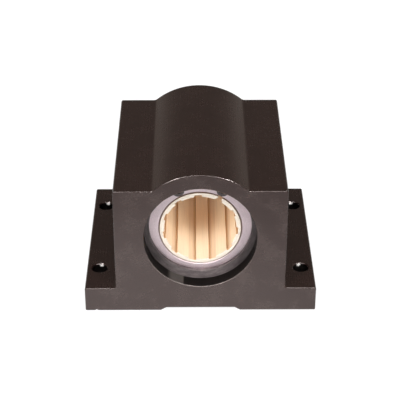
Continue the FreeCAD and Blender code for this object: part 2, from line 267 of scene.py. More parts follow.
def shaft_frame(tree):
    """Where a surface lies in mm, also in radius and angle about the shaft, and its end faces."""
    coords = add(tree, "ShaderNodeTexCoord")
    place = add(tree, "ShaderNodeVectorMath", {0: coords.outputs["Object"], 1: (1 / MM,) * 3},
                operation="MULTIPLY")
    x, y, z = add(tree, "ShaderNodeSeparateXYZ", {0: place}).outputs
    below = add(tree, "ShaderNodeMath", {0: AXIS_HEIGHT / MM, 1: z}, operation="SUBTRACT")
    across = add(tree, "ShaderNodeCombineXYZ", {"X": x, "Z": below})
    radius = add(tree, "ShaderNodeVectorMath", {0: across}, operation="LENGTH")
    around = add(tree, "ShaderNodeMath", {0: x, 1: below}, operation="ARCTAN2")
    facing = add(tree, "ShaderNodeSeparateXYZ", {0: coords.outputs["Normal"]})
    along = add(tree, "ShaderNodeMath", {0: facing.outputs["Y"]}, operation="ABSOLUTE")
    end_face = add(tree, "ShaderNodeMapRange", {"Value": along, "From Min": 0.5, "From Max": 0.8},
                   interpolation_type="SMOOTHSTEP")
    return SimpleNamespace(place=place, x=x, y=y, z=z, below=below,
                           radius=radius.outputs["Value"], around=around, end_face=end_face)


def tool_marks(tree, at, bore, settings):
    """Marks that the die left along the block, the mill on its ends and the tool in its bore."""
    # A noise stretched along the block makes the die's drawn lines.
    drawn = add(tree, "ShaderNodeVectorMath", {0: at.place, 1: (1.0, 0.012, 1.0)},
                operation="MULTIPLY")
    die = add(tree, "ShaderNodeTexNoise", {
        "Vector": drawn, "Scale": MM / settings.die_line, "Detail": 1.0, "Roughness": 0.5})
    # The milling cutter sweeps in wide arcs across the end faces.
    arcs = add(tree, "ShaderNodeCombineXYZ", {"X": at.x, "Z": at.z})
    arcs = add(tree, "ShaderNodeVectorMath", {0: arcs, 1: settings.mill_centre / MM},
               operation="DISTANCE")
    arcs = add(tree, "ShaderNodeCombineXYZ", {"X": arcs.outputs["Value"]})
    mill = add(tree, "ShaderNodeTexNoise", {
        "Vector": arcs, "Scale": MM / settings.mill_mark, "Detail": 1.0, "Roughness": 0.5})
    rings = add(tree, "ShaderNodeCombineXYZ", {"Y": at.y})
    bored = add(tree, "ShaderNodeTexNoise", {
        "Vector": rings, "Scale": MM / settings.bore_pitch, "Detail": 1.0, "Roughness": 0.5})
    marks = add(tree, "ShaderNodeMix", {
        "Factor": at.end_face, 2: die.outputs["Fac"], 3: mill.outputs["Fac"]}, data_type="FLOAT")
    return add(tree, "ShaderNodeMix", {"Factor": bore, 2: marks, 3: bored.outputs["Fac"]},
               data_type="FLOAT")


def edge_wear_and_highlight(tree, at, settings):
    """Worn edges in patches, where the rounded normal departs from the flat one: wear, and partly
    a painted highlight.
    """
    rounded = add(tree, "ShaderNodeBevel", {"Radius": settings.wear_reach}, samples=6)
    flat = add(tree, "ShaderNodeNewGeometry")
    edge = add(tree, "ShaderNodeVectorMath", {0: rounded, 1: flat.outputs["True Normal"]},
               operation="DOT_PRODUCT")
    # Cosines: the pale edge starts where the two part by 10 degrees, and is full by 31.
    edge = add(tree, "ShaderNodeMapRange", {
        "Value": edge.outputs["Value"], "From Min": 0.985, "From Max": 0.86})
    rub = add(tree, "ShaderNodeTexNoise", {
        "Vector": at.place, "Scale": MM / settings.wear_patch, "Detail": 5.0, "Roughness": 0.65})
    rub = add(tree, "ShaderNodeMapRange", {
        "Value": rub.outputs["Fac"], "From Min": 0.47, "From Max": 0.62})
    return add(tree, "ShaderNodeMath", {0: edge, 1: rub}, operation="MULTIPLY")


def painted_mouth_highlight(tree, at):
    """A painted highlight along the lower edge of the bore's mouth."""
    # The band is 0.3 mm wide, and grows from 5 to 14 mm below the shaft's axis.
    rim = add(tree, "ShaderNodeMapRange", {
        "Value": at.radius, "From Min": BORE_RADIUS / MM + 0.38,
        "From Max": BORE_RADIUS / MM + 0.3})
    lower = add(tree, "ShaderNodeMapRange", {
        "Value": at.below, "From Min": 5.0, "From Max": 14.0, "To Max": 0.6})
    return add(tree, "ShaderNodeMath", {0: rim, 1: lower}, operation="MULTIPLY")


def painted_bore_reflection(tree, at, bore, settings):
    """A pale patch painted on the front mouth's wall, low on the left: a painted reflection."""
    # The patch fades in over six degrees and ends within one.
    start = add(tree, "ShaderNodeMapRange", {
        "Value": at.around, "From Min": settings.reflection_start,
        "From Max": settings.reflection_start + math.radians(6)}, interpolation_type="SMOOTHSTEP")
    stop = add(tree, "ShaderNodeMapRange", {
        "Value": at.around, "From Min": settings.reflection_end,
        "From Max": settings.reflection_end - math.radians(0.9)})
    front = add(tree, "ShaderNodeMath", {0: at.y, 1: 0.0}, operation="LESS_THAN")
    reflection_patch = add(tree, "ShaderNodeMath", {0: start, 1: stop}, operation="MULTIPLY")
    reflection_patch = add(tree, "ShaderNodeMath", {0: reflection_patch, 1: front}, operation="MULTIPLY")
    return add(tree, "ShaderNodeMath", {0: reflection_patch, 1: bore}, operation="MULTIPLY")


def painted_hole_highlight(tree, at):
    """A painted highlight on each screw hole's rear wall, just below the rim and towards the upper
    block.
    """
    outer = add(tree, "ShaderNodeMath", {0: at.x}, operation="ABSOLUTE")
    outer = add(tree, "ShaderNodeMath", {0: outer, 1: HOLES["spacing_x_mm"] / 2},
                operation="SUBTRACT")
    end = add(tree, "ShaderNodeMath", {0: at.y}, operation="SIGN")
    back = add(tree, "ShaderNodeMath", {0: end, 1: -HOLES["spacing_y_mm"] / 2, 2: at.y},
               operation="MULTIPLY_ADD")
    place = add(tree, "ShaderNodeCombineXYZ", {"X": outer, "Y": back, "Z": at.z})
    # Half a millimetre towards the upper block, on the wall, and 0.6 mm below the flange's top.
    centre = (-0.5, HOLES["hole_r_mm"], FLANGE_TOP / MM - 0.6)
    away = add(tree, "ShaderNodeVectorMath", {0: place, 1: centre}, operation="DISTANCE")
    return add(tree, "ShaderNodeMapRange", {
        "Value": away.outputs["Value"], "From Min": 0.9, "From Max": 0.4})


def anodised_block(settings, inside):
    """Black anodised aluminium: drawn and milled outside, bored inside, with a darker colour there
    as painted shade.
    """
    # Oxide has an index of about 1.7. It is matched to how strongly each face mirrors the room:
    # a little more outside, and much less in the rougher bore and holes. Their darker colour
    # is painted shade.
    name, dye, index, dull = (
        ("Black anodised bored aluminium with painted shade", settings.bored, 1.22, 0.35) if inside else
        ("Black anodised extruded aluminium", settings.anodised, 1.82, 0.26))
    material, tree = new_material(name)
    at = shaft_frame(tree)
    bore = add(tree, "ShaderNodeMath", {0: at.radius, 1: BORE_REACH / MM}, operation="LESS_THAN")
    marks = tool_marks(tree, at, bore, settings)
    # The dye takes unevenly, in soft clouds a few millimetres across.
    clouds = add(tree, "ShaderNodeTexNoise", {
        "Vector": at.place, "Scale": MM / settings.cloud, "Detail": 3.0, "Roughness": 0.55})
    # Pores and etch grain are far finer on the real block.
    grain = add(tree, "ShaderNodeTexNoise", {
        "Vector": at.place, "Scale": MM / settings.grain, "Detail": 2.0, "Roughness": 0.6})

    # Pale edges: wear, and partly a painted highlight.
    worn = edge_wear_and_highlight(tree, at, settings)
    # Outside, the lower edge of the bore's mouth gets a painted highlight.
    if not inside:
        worn = add(tree, "ShaderNodeMath", {0: worn, 1: painted_mouth_highlight(tree, at)}, operation="MAXIMUM")
    # A film of handling grease greys the milled ends in soft patches.
    haze = add(tree, "ShaderNodeMapRange", {
        "Value": clouds.outputs["Fac"], "From Min": 0.45, "From Max": 0.7,
        "To Max": settings.haze})
    haze = add(tree, "ShaderNodeMath", {0: haze, 1: at.end_face}, operation="MULTIPLY")
    bare = add(tree, "ShaderNodeMath", {0: worn, 1: settings.wear, 2: haze},
               operation="MULTIPLY_ADD")
    # Inside, a painted reflection on the bore wall.
    if inside:
        reflection_patch = painted_bore_reflection(tree, at, bore, settings)
        bare = add(tree, "ShaderNodeMath", {0: reflection_patch, 1: settings.bore_reflection_level, 2: bare},
                   operation="MULTIPLY_ADD")

    shade = add(tree, "ShaderNodeMapRange", {
        "Value": clouds.outputs["Fac"], **MOST_NOISE, "To Min": 0.88, "To Max": 1.1})
    streak = add(tree, "ShaderNodeMapRange", {
        "Value": marks, **ALL_NOISE, "To Min": 0.95, "To Max": 1.05})
    shade = add(tree, "ShaderNodeMath", {0: shade, 1: streak}, operation="MULTIPLY")
    dyed = add(tree, "ShaderNodeVectorMath", {0: tuple(dye), "Scale": shade}, operation="SCALE")
    paint = add(tree, "ShaderNodeMix", {"Factor": bare, 6: dyed, 7: (*settings.bare_edge_and_highlight, 1.0)},
                data_type="RGBA")
    # Inside, a painted highlight in each screw hole.
    if inside:
        paint = add(tree, "ShaderNodeMix", {
            "Factor": painted_hole_highlight(tree, at), 6: paint.outputs[2],
            7: (*settings.hole_highlight, 1.0)}, data_type="RGBA")

    gloss = add(tree, "ShaderNodeMapRange", {
        "Value": clouds.outputs["Fac"], **MOST_NOISE,
        "To Min": dull - 0.035, "To Max": dull + 0.035})
    ripple = add(tree, "ShaderNodeMapRange", {
        "Value": marks, **ALL_NOISE, "To Min": -0.015, "To Max": 0.015})
    gloss = add(tree, "ShaderNodeMath", {0: gloss, 1: ripple}, operation="ADD")
    pores = add(tree, "ShaderNodeMapRange", {
        "Value": grain.outputs["Fac"], **MOST_NOISE, "To Min": -0.015, "To Max": 0.015})
    gloss = add(tree, "ShaderNodeMath", {0: gloss, 1: pores}, operation="ADD")

    bump = add(tree, "ShaderNodeBump", {"Strength": 0.06, "Distance": 0.012 * MM, "Height": marks})
    shader = add(tree, "ShaderNodeBsdfPrincipled", {
        "Base Color": paint.outputs[2], "Roughness": gloss, "IOR": index, "Normal": bump,
        "Specular Tint": (*settings.sheen, 1.0)})
    add(tree, "ShaderNodeOutputMaterial", {"Surface": shader})
    return material


def turned_aluminium(settings):
    """Turned, clear anodised aluminium: a pale satin metal with fine rings round the shaft."""
    material, tree = new_material("Clear anodised turned aluminium")
    at = shaft_frame(tree)
    # Facing marks on the ends are rings of one radius, and on the walls rings of one depth.
    faced = add(tree, "ShaderNodeMix", {"Factor": at.end_face, 2: at.y, 3: at.radius},
                data_type="FLOAT")
    faced = add(tree, "ShaderNodeCombineXYZ", {"X": faced})
    turning = add(tree, "ShaderNodeTexNoise", {
        "Vector": faced, "Scale": MM / settings.turning_pitch, "Detail": 3.0, "Roughness": 0.7})
    clouds = add(tree, "ShaderNodeTexNoise", {
        "Vector": at.place, "Scale": MM / settings.cloud, "Detail": 3.0, "Roughness": 0.6})
    grain = add(tree, "ShaderNodeTexNoise", {
        "Vector": at.place, "Scale": MM / settings.grain, "Detail": 2.0})

    shade = add(tree, "ShaderNodeMapRange", {
        "Value": clouds.outputs["Fac"], **MOST_NOISE, "To Min": 0.93, "To Max": 1.05})
    rings = add(tree, "ShaderNodeMapRange", {
        "Value": turning.outputs["Fac"], **ALL_NOISE, "To Min": 0.9, "To Max": 1.07})
    shade = add(tree, "ShaderNodeMath", {0: shade, 1: rings}, operation="MULTIPLY")
    speck = add(tree, "ShaderNodeMapRange", {
        "Value": grain.outputs["Fac"], **MOST_NOISE, "To Min": 0.9, "To Max": 1.07})
    shade = add(tree, "ShaderNodeMath", {0: shade, 1: speck}, operation="MULTIPLY")
    # A dark band painted on the sleeve's inner chamfer, at the joint with the liner: painted shade
    # in the gap, which also dims the chamfer's highlight.
    joint = add(tree, "ShaderNodeMapRange", {
        "Value": at.radius, "From Min": LINER_RADIUS / MM + 0.42,
        "From Max": LINER_RADIUS / MM + 0.12, "To Max": 0.7})
    metal = add(tree, "ShaderNodeMix", {
        "Factor": joint, 6: (*settings.metal, 1.0), 7: (*settings.joint_shade, 1.0)},
        data_type="RGBA")
    metal = add(tree, "ShaderNodeVectorMath", {0: metal.outputs[2], "Scale": shade},
                operation="SCALE")

    gloss = add(tree, "ShaderNodeMapRange", {
        "Value": clouds.outputs["Fac"], **MOST_NOISE, "To Min": 0.45, "To Max": 0.55})
    # The etch grain is shallower than the turned grooves.
    relief = add(tree, "ShaderNodeMath", {
        0: grain.outputs["Fac"], 1: 0.4, 2: turning.outputs["Fac"]}, operation="MULTIPLY_ADD")
    bump = add(tree, "ShaderNodeBump", {"Strength": 0.4, "Distance": 0.012 * MM, "Height": relief})
    # Turned grooves run round the shaft, so highlights spread across them.
    grooves = add(tree, "ShaderNodeTangent", direction_type="RADIAL", axis="Y")
    # The oxide scatters some of the light, so the metal shows a little less than in full.
    shader = add(tree, "ShaderNodeBsdfPrincipled", {
        "Base Color": metal, "Metallic": 0.82, "Roughness": gloss, "Normal": bump,
        "Anisotropic": 0.5, "Tangent": grooves})
    add(tree, "ShaderNodeOutputMaterial", {"Surface": shader})
    return material


def groove_shade(tree, at, settings):
    """Painted shade in the liner's grooves, most of it along the lower side of each."""
    step = math.tau / settings.groove_count
    local = add(tree, "ShaderNodeMath", {0: at.around, 1: math.pi + settings.lean},
                operation="SUBTRACT")
    local = add(tree, "ShaderNodeMath", {0: local, 1: step / 2, 2: -step / 2}, operation="WRAP")
    side = add(tree, "ShaderNodeMath", {0: at.around}, operation="SIGN")
    lower = add(tree, "ShaderNodeMath", {0: local, 1: side}, operation="MULTIPLY")
    lower_side_shade = add(tree, "ShaderNodeMapRange", {
        "Value": lower, "From Min": 0.0, "From Max": -settings.groove_angle / 2,
        "To Min": 0.2, "To Max": 0.75}, interpolation_type="SMOOTHSTEP")
    # It starts just below the lands, and leaves the end faces out.
    sunk = add(tree, "ShaderNodeMapRange", {
        "Value": at.radius, "From Min": LAND_RADIUS / MM + 0.04,
        "From Max": LAND_RADIUS / MM + 0.16})
    wall = add(tree, "ShaderNodeMath", {0: 1.0, 1: at.end_face}, operation="SUBTRACT")
    # The grooves' painted shade, on the walls only.
    dust = add(tree, "ShaderNodeMath", {0: lower_side_shade, 1: sunk}, operation="MULTIPLY")
    return add(tree, "ShaderNodeMath", {0: dust, 1: wall}, operation="MULTIPLY")


def deep_shade(tree, at):
    """A darker, more orange colour painted along the bottom of the bore towards its rear: painted
    shade deep in the bore.
    """
    bottom = add(tree, "ShaderNodeMath", {0: at.around}, operation="ABSOLUTE")
    bottom = add(tree, "ShaderNodeMapRange", {
        "Value": bottom, "From Min": 0.75, "From Max": 0.15}, interpolation_type="SMOOTHSTEP")
    rear = add(tree, "ShaderNodeMapRange", {
        "Value": at.y, "From Min": -14.0, "From Max": 4.0, "To Max": 0.4},
        interpolation_type="SMOOTHSTEP")
    return add(tree, "ShaderNodeMath", {0: bottom, 1: rear}, operation="MULTIPLY")


def bearing_polymer(settings):
    """Moulded, filled bearing polymer: cream and satin, streaked along the shaft."""
    material, tree = new_material("Moulded bearing polymer")
    at = shaft_frame(tree)
    # A noise stretched along the shaft makes the streaks that moulding leaves.
    drawn = add(tree, "ShaderNodeVectorMath", {0: at.place, 1: (1.0, 0.03, 1.0)},
                operation="MULTIPLY")
    streaks = add(tree, "ShaderNodeTexNoise", {
        "Vector": drawn, "Scale": MM / settings.streak, "Detail": 3.0, "Roughness": 0.6})
    specks = add(tree, "ShaderNodeTexNoise", {
        "Vector": at.place, "Scale": MM / settings.speck, "Detail": 3.0, "Roughness": 0.7})
    shade = add(tree, "ShaderNodeMapRange", {
        "Value": streaks.outputs["Fac"], **ALL_NOISE, "To Min": 0.92, "To Max": 1.07})
    speck = add(tree, "ShaderNodeMapRange", {
        "Value": specks.outputs["Fac"], **MOST_NOISE, "To Min": 0.97, "To Max": 1.02})
    shade = add(tree, "ShaderNodeMath", {0: shade, 1: speck}, operation="MULTIPLY")

    # A thin dark line painted round the liner at the joint with the sleeve: painted shade in the
    # gap.
    joint = add(tree, "ShaderNodeMapRange", {
        "Value": at.radius, "From Min": LINER_RADIUS / MM - 0.2,
        "From Max": LINER_RADIUS / MM - 0.1, "To Max": 0.85})
    cream = (*settings.polymer, 1.0)
    # End faces, told by the way they face, get a greyer, darker colour: painted shade against
    # their stronger light. The deep, groove and joint colours are painted shade too.
    for share, tint in (
        (at.end_face, settings.end_face),
        (deep_shade(tree, at), settings.deep_shade),
        (groove_shade(tree, at, settings), settings.groove_shade),
        (joint, settings.joint_shade),
    ):
        cream = add(tree, "ShaderNodeMix", {"Factor": share, 6: cream, 7: (*tint, 1.0)},
                    data_type="RGBA").outputs[2]
    cream = add(tree, "ShaderNodeVectorMath", {0: cream, "Scale": shade}, operation="SCALE")

    gloss = add(tree, "ShaderNodeMapRange", {
        "Value": streaks.outputs["Fac"], **ALL_NOISE, "To Min": 0.42, "To Max": 0.55})
    bump = add(tree, "ShaderNodeBump", {
        "Strength": 0.25, "Distance": 0.01 * MM, "Height": streaks.outputs["Fac"]})
    shader = add(tree, "ShaderNodeBsdfPrincipled", {
        "Base Color": cream, "Roughness": gloss, "IOR": 1.45, "Normal": bump})
    add(tree, "ShaderNodeOutputMaterial", {"Surface": shader})
    return material


def phosphated_steel(settings):
    """Phosphated spring steel: a dark grey, dry surface of fine crystals."""
    material, tree = new_material("Phosphated spring steel")
    at = shaft_frame(tree)
    grain = add(tree, "ShaderNodeTexNoise", {
        "Vector": at.place, "Scale": MM / settings.grain, "Detail": 4.0, "Roughness": 0.7})
    shade = add(tree, "ShaderNodeMapRange", {
        "Value": grain.outputs["Fac"], **ALL_NOISE, "To Min": 0.82, "To Max": 1.15})
    # Oil lies on the coat in patches and darkens it.
    clouds = add(tree, "ShaderNodeTexNoise", {
        "Vector": at.place, "Scale": MM / settings.oil_patch, "Detail": 4.0, "Roughness": 0.6})
    oiled = add(tree, "ShaderNodeMapRange", {
        "Value": clouds.outputs["Fac"], **MOST_NOISE, "To Min": 0.75, "To Max": 1.15})
    # The ring's bottom, its wide side opposite the lugs, is painted paler than the rest: painted
    # light there, and painted shade on the sides and top.
    rubbed = add(tree, "ShaderNodeMapRange", {
        "Value": at.below, "From Min": 10.0, "From Max": 18.5, "To Min": 0.45, "To Max": 1.02},
        interpolation_type="SMOOTHSTEP")
    # Fitting has left long scuffs that run round the ring.
    turned = add(tree, "ShaderNodeMath", {0: at.around, 1: 5.0}, operation="MULTIPLY")
    turned = add(tree, "ShaderNodeCombineXYZ", {"X": at.radius, "Y": turned})
    scuffs = add(tree, "ShaderNodeTexNoise", {
        "Vector": turned, "Scale": MM / settings.scuff, "Detail": 3.0, "Roughness": 0.6})
    scuff = add(tree, "ShaderNodeMapRange", {
        "Value": scuffs.outputs["Fac"], **MOST_NOISE, "To Min": 0.7, "To Max": 1.35})
    for mask in (oiled, rubbed, scuff):
        shade = add(tree, "ShaderNodeMath", {0: shade, 1: mask}, operation="MULTIPLY")
    metal = add(tree, "ShaderNodeVectorMath", {0: tuple(settings.steel), "Scale": shade},
                operation="SCALE")
    gloss = add(tree, "ShaderNodeMapRange", {
        "Value": clouds.outputs["Fac"], **MOST_NOISE, "To Min": 0.45, "To Max": 0.6})
    bump = add(tree, "ShaderNodeBump", {
        "Strength": 0.4, "Distance": 0.02 * MM, "Height": grain.outputs["Fac"]})
    # The phosphate coat is no metal and lets only part of the steel's own shine through.
    shader = add(tree, "ShaderNodeBsdfPrincipled", {
        "Base Color": metal, "Metallic": 0.6, "Roughness": gloss, "Normal": bump})
    add(tree, "ShaderNodeOutputMaterial", {"Surface": shader})
    return material


def plain_mesh(source, name):
    """A new object with the plain mesh that a modified object evaluates to."""
    graph = bpy.context.evaluated_depsgraph_get()
    mesh = bpy.data.meshes.new_from_object(source.evaluated_get(graph), depsgraph=graph)
    mesh.name = name
    piece = bpy.data.objects.new(name, mesh)
    bpy.context.scene.collection.objects.link(piece)
    bpy.data.objects.remove(source)
    return piece


def rounded_copy(node, name, radius):
    """A welded copy of a CAD node, its flat faces joined and its sharp edges rounded."""
    mesh = frame["nodes"][node].data.copy()
    shape = bmesh.new()
    shape.from_mesh(mesh)
    bmesh.ops.remove_doubles(shape, verts=shape.verts, dist=WELD_REACH)
    bmesh.ops.dissolve_limit(shape, angle_limit=FLAT_ANGLE, verts=shape.verts, edges=shape.edges)
    shape.to_mesh(mesh)
    shape.free()
    if "custom_normal" in mesh.attributes:
        mesh.attributes.remove(mesh.attributes["custom_normal"])
    mesh.shade_smooth()
    source = bpy.data.objects.new(name + "_source", mesh)
    bpy.context.scene.collection.objects.link(source)
    bevel = source.modifiers.new("Edge round", "BEVEL")
    bevel.width = radius
    bevel.segments = 2
    bevel.limit_method = "ANGLE"
    bevel.angle_limit = SHARP_ANGLE
    bevel.use_clamp_overlap = False
    bevel.harden_normals = True
    return plain_mesh(source, name)


def finish_piece(piece, material, slot, *nodes):
    """Give a piece its material, hang it on the body and hide the CAD nodes that it stands for."""
    piece.data.materials.clear()
    piece.data.materials.append(material)
    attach(piece, BODY)
    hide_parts(*nodes)


def on_inner_wall(face):
    """Whether a face lies on the wall of the bore, facing its axis, or on that of a hole."""
    outward = Vector((face.center.x, 0.0, face.center.z - AXIS_HEIGHT))
    bore_wall = outward.length < BORE_REACH and outward.normalized() @ face.normal < -0.8
    across = abs(face.center.x) - HOLES["spacing_x_mm"] * MM / 2
    along = abs(face.center.y) - HOLES["spacing_y_mm"] * MM / 2
    hole_wall = math.hypot(across, along) < HOLE_REACH and abs(face.normal.z) < 0.3
    return bore_wall or hole_wall


class PILLOW_OT_block(bpy.types.Operator):
    """Finish the extruded block in black anodising"""
    bl_idname = "pillow.block"
    bl_label = "Block"

    def execute(self, context):
        settings = context.scene.pillow_block
        block = rounded_copy("housing", "extruded_block", settings.edge_round)
        finish_piece(block, anodised_block(settings, False), "black_anodised_aluminium", "housing")
        block.data.materials.append(anodised_block(settings, True))
        # The walls of the bore and holes take the second material, whose darker colour is painted
        # shade.
        for face in block.data.polygons:
            if on_inner_wall(face):
                face.material_index = 1
        return {"FINISHED"}


class PILLOW_OT_sleeve(bpy.types.Operator):
    """Finish the turned sleeve in clear anodising"""
    bl_idname = "pillow.sleeve"
    bl_label = "Sleeve"

    def execute(self, context):
        settings = context.scene.pillow_sleeve
        sleeve = rounded_copy("bearing_sleeve", "turned_sleeve", settings.edge_round)
        finish_piece(sleeve, turned_aluminium(settings), "clear_anodised_aluminium",
                     "bearing_sleeve")
        return {"FINISHED"}


def liner_tree():
    """Node tree of the liner: a slit ring swept round the shaft, with grooves pressed into it."""
    tree = bpy.data.node_groups.new("Grooved liner", "GeometryNodeTree")
    tree.interface.new_socket("Geometry", in_out="OUTPUT", socket_type="NodeSocketGeometry")
    for name, kind in (
        ("Outer radius", "Float"), ("Land radius", "Float"), ("Length", "Float"),
        ("Groove count", "Int"), ("Groove angle", "Float"), ("Groove depth", "Float"),
        ("Groove round", "Float"), ("End round", "Float"), ("Slit width", "Float"),
        ("Nub radius", "Float"), ("Nub height", "Float"), ("Lean", "Float"),
        ("Axis height", "Float"), ("Material", "Material"),
    ):
        tree.interface.new_socket(name, in_out="INPUT", socket_type="NodeSocket" + kind)
    given = add(tree, "NodeGroupInput").outputs
    outer, land = given["Outer radius"], given["Land radius"]

    both = add(tree, "ShaderNodeMath", {0: outer, 1: land}, operation="ADD")
    middle = add(tree, "ShaderNodeMath", {0: both, 1: 0.5}, operation="MULTIPLY")
    wall = add(tree, "ShaderNodeMath", {0: outer, 1: land}, operation="SUBTRACT")
    step = add(tree, "ShaderNodeMath", {0: math.tau, 1: given["Groove count"]},
               operation="DIVIDE")
    half_step = add(tree, "ShaderNodeMath", {0: step, 1: 0.5}, operation="MULTIPLY")
    half_groove = add(tree, "ShaderNodeMath", {0: given["Groove angle"], 1: 0.5},
                      operation="MULTIPLY")
    soft = add(tree, "ShaderNodeMath", {0: given["Groove round"], 1: land}, operation="DIVIDE")
    edge_in = add(tree, "ShaderNodeMath", {0: half_groove, 1: soft}, operation="SUBTRACT")
    edge_out = add(tree, "ShaderNodeMath", {0: half_groove, 1: soft}, operation="ADD")

    # The path round the shaft has its points close together at the grooves' edges. Counted from
    # the middle of a groove, as shares of all points up to the next one, they lie on its floor as
    # far as floor_end and on its edge as far as edge_end.
    points, floor_end, edge_end = 24.0, 0.1, 0.35
    count = add(tree, "ShaderNodeMath", {0: given["Groove count"], 1: points, 2: 1.0},
                operation="MULTIPLY_ADD")
    path = add(tree, "GeometryNodeMeshLine", {"Count": count})
    path = add(tree, "GeometryNodeMeshToCurve", {"Mesh": path})
    index = add(tree, "GeometryNodeInputIndex")
    cell = add(tree, "ShaderNodeMath", {0: index, 1: points}, operation="DIVIDE")
    nearest = add(tree, "ShaderNodeMath", {0: cell}, operation="ROUND")
    local = add(tree, "ShaderNodeMath", {0: cell, 1: nearest}, operation="SUBTRACT")
    size = add(tree, "ShaderNodeMath", {0: local}, operation="ABSOLUTE")
    side = add(tree, "ShaderNodeMath", {0: local}, operation="SIGN")
    floor_part = add(tree, "ShaderNodeMapRange", {
        "Value": size, "From Max": floor_end, "To Max": edge_in})
    edge_part = add(tree, "ShaderNodeMapRange", {
        "Value": size, "From Min": floor_end, "From Max": edge_end,
        "To Min": edge_in, "To Max": edge_out})
    land_part = add(tree, "ShaderNodeMapRange", {
        "Value": size, "From Min": edge_end, "From Max": 0.5,
        "To Min": edge_out, "To Max": half_step})
    spread = add(tree, "ShaderNodeMath", {0: floor_part, 1: edge_part}, operation="ADD")
    spread = add(tree, "ShaderNodeMath", {0: spread, 1: land_part}, operation="ADD")
    spread = add(tree, "ShaderNodeMath", {0: spread, 1: edge_in}, operation="SUBTRACT")
    spread = add(tree, "ShaderNodeMath", {0: spread, 1: edge_out}, operation="SUBTRACT")
    offset = add(tree, "ShaderNodeMath", {0: spread, 1: side}, operation="MULTIPLY")
    turned = add(tree, "ShaderNodeMath", {0: nearest, 1: step, 2: offset},
                 operation="MULTIPLY_ADD")
    cosine = add(tree, "ShaderNodeMath", {0: turned}, operation="COSINE")
    sine = add(tree, "ShaderNodeMath", {0: turned}, operation="SINE")
    ring = add(tree, "ShaderNodeCombineXYZ", {"X": cosine, "Y": sine})
    ring = add(tree, "ShaderNodeVectorMath", {0: ring, "Scale": middle}, operation="SCALE")
    path = add(tree, "GeometryNodeSetPosition", {"Geometry": path, "Position": ring})

    # The slit lies in the groove where the path starts and ends.
    whole = add(tree, "GeometryNodeCurveLength", {0: path})
    half_slit = add(tree, "ShaderNodeMath", {0: given["Slit width"], 1: 0.5},
                    operation="MULTIPLY")
    last = add(tree, "ShaderNodeMath", {0: whole, 1: half_slit}, operation="SUBTRACT")
    path = add(tree, "GeometryNodeTrimCurve", {"Curve": path, 4: half_slit, 5: last},
               mode="LENGTH")
    path = add(tree, "GeometryNodeSetCurveNormal", {"Curve": path}, mode="Z_UP")

    section = add(tree, "GeometryNodeCurvePrimitiveQuadrilateral", {
        "Width": wall, "Height": given["Length"]})
    section = add(tree, "GeometryNodeFilletCurve", {
        "Curve": section, "Radius": given["End round"], "Count": 4}, mode="POLY")
    tube = add(tree, "GeometryNodeCurveToMesh", {
        "Curve": path, "Profile Curve": section, "Fill Caps": True})

    # Grooves move the inner wall outwards, with a soft step at each edge.
    place = add(tree, "GeometryNodeInputPosition")
    x, y, _ = add(tree, "ShaderNodeSeparateXYZ", {0: place}).outputs
    flat = add(tree, "ShaderNodeCombineXYZ", {"X": x, "Y": y})
    radius = add(tree, "ShaderNodeVectorMath", {0: flat}, operation="LENGTH")
    outward = add(tree, "ShaderNodeVectorMath", {0: flat}, operation="NORMALIZE")
    around = add(tree, "ShaderNodeMath", {0: y, 1: x}, operation="ARCTAN2")
    from_groove = add(tree, "ShaderNodeMath", {0: around, 1: half_step}, operation="PINGPONG")
    press = add(tree, "ShaderNodeMapRange", {
        "Value": from_groove, "From Min": edge_out, "From Max": edge_in,
        "To Max": given["Groove depth"]}, interpolation_type="SMOOTHSTEP")
    inner = add(tree, "ShaderNodeMath", {0: radius.outputs["Value"], 1: middle},
                operation="LESS_THAN")
    shift = add(tree, "ShaderNodeVectorMath", {0: outward, "Scale": press}, operation="SCALE")
    tube = add(tree, "GeometryNodeSetPosition", {
        "Geometry": tube, "Selection": inner, "Offset": shift})
    bend = add(tree, "GeometryNodeInputMeshEdgeAngle")
    crease = add(tree, "ShaderNodeMath", {0: bend, 1: math.radians(40)},
                 operation="GREATER_THAN")
    tube = add(tree, "GeometryNodeSetShadeSmooth", {
        0: tube, "Selection": crease, "Shade Smooth": False}, domain="EDGE")

    # The first groove, one step from the slit, is brought to the top, leaning a little.
    turn = add(tree, "ShaderNodeMath", {0: given["Lean"], 1: step}, operation="SUBTRACT")
    turn = add(tree, "ShaderNodeMath", {0: turn, 1: math.pi / 2}, operation="ADD")
    turn = add(tree, "ShaderNodeCombineXYZ", {"Z": turn})
    tube = add(tree, "GeometryNodeTransform", {"Geometry": tube, "Rotation": turn})

    # The nub stands out of the liner's underside, half way along, and locks it in its sleeve.
    half_wall = add(tree, "ShaderNodeMath", {0: wall, 1: 0.5}, operation="MULTIPLY")
    nub_length = add(tree, "ShaderNodeMath", {0: given["Nub height"], 1: half_wall},
                     operation="ADD")
    nub = add(tree, "GeometryNodeMeshCylinder", {
        "Vertices": 32, "Radius": given["Nub radius"], "Depth": nub_length})
    half_nub = add(tree, "ShaderNodeMath", {0: nub_length, 1: 0.5}, operation="MULTIPLY")
    away = add(tree, "ShaderNodeMath", {0: middle, 1: half_nub}, operation="ADD")
    away = add(tree, "ShaderNodeCombineXYZ", {"Z": away})
    nub = add(tree, "GeometryNodeTransform", {
        "Geometry": nub.outputs["Mesh"], "Translation": away})
    down = add(tree, "ShaderNodeCombineXYZ", {"X": math.pi / 2, "Z": given["Lean"]})
    nub = add(tree, "GeometryNodeTransform", {"Geometry": nub, "Rotation": down})

    # From an axis along Z to an axis along Y at the shaft's height.
    joined = add(tree, "GeometryNodeJoinGeometry", {0: tube})
    tree.links.new(nub.outputs[0], joined.inputs[0])
    lift = add(tree, "ShaderNodeCombineXYZ", {"Z": given["Axis height"]})
    joined = add(tree, "GeometryNodeTransform", {
        "Geometry": joined, "Translation": lift, "Rotation": (math.pi / 2, 0.0, 0.0)})
    real = add(tree, "GeometryNodeRealizeInstances", {0: joined})
    coated = add(tree, "GeometryNodeSetMaterial", {
        "Geometry": real, "Material": given["Material"]})
    add(tree, "NodeGroupOutput", {0: coated})
    return tree


